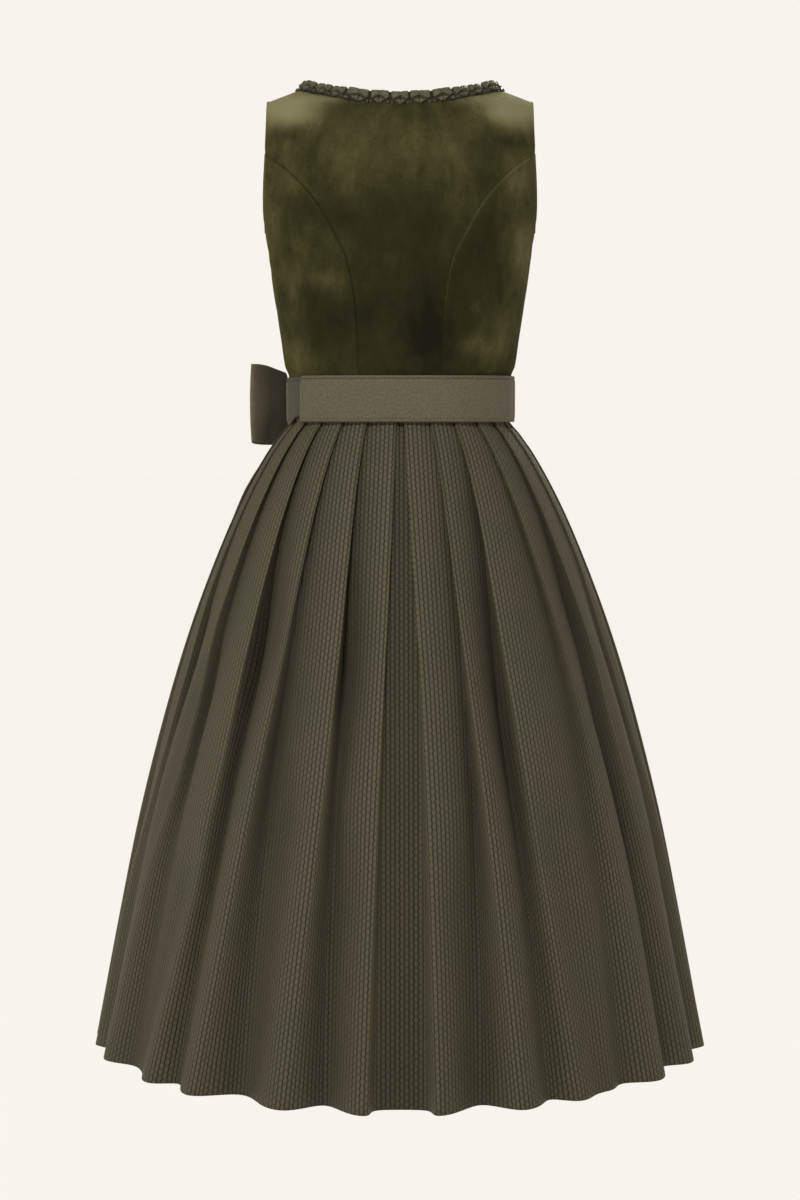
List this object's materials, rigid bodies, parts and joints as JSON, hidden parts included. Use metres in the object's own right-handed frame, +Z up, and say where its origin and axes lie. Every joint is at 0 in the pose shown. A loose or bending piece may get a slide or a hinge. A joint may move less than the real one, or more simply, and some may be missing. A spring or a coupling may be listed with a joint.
{
  "type": "dirndl dress with apron",
  "caption": "Sleeveless dirndl dress with a fitted velvet bodice, ruched ribbon neckline, pleated bell skirt, and an apron whose tie makes a bow at the wearer's left.",
  "frame": {"origin": "midway between the two shoulder straps, at the height where they rest on the shoulders", "axes": "+Z up, +X towards the wearer's left, +Y towards the wearer's back; the wearer faces -Y"},
  "size_m": [0.7789, 0.7145, 1.2043],
  "materials": {
    "velvet": "dark olive cotton velvet with a mottled nap and a pale sheen at the edges",
    "skirt_jacquard": "dull brown-olive jacquard woven in upright chains of small oval cells",
    "apron_twill": "lighter olive fine diagonal twill with a slight sheen",
    "ruche_ribbon": "dark brown-olive satin ribbon folded into hearts"
  },
  "bodies": {
    "root": {"bodice_back_centre": "velvet", "bodice_back_side_left": "velvet", "bodice_back_side_right": "velvet", "bodice_front_side_left": "velvet", "bodice_front_side_right": "velvet", "bodice_front_left": "velvet", "bodice_front_right": "velvet", "neck_ruche": "ruche_ribbon", "skirt_back": "skirt_jacquard", "skirt_front": "skirt_jacquard", "apron_panel": "apron_twill", "apron_waistband": "apron_twill", "apron_tie_back": "apron_twill", "apron_tie_left": "apron_twill", "bow_knot": "apron_twill", "bow_loop_outer": "apron_twill", "bow_loop_front": "apron_twill", "bow_tail_long": "apron_twill", "bow_tail_short": "apron_twill"}
  },
  "joints": []
}
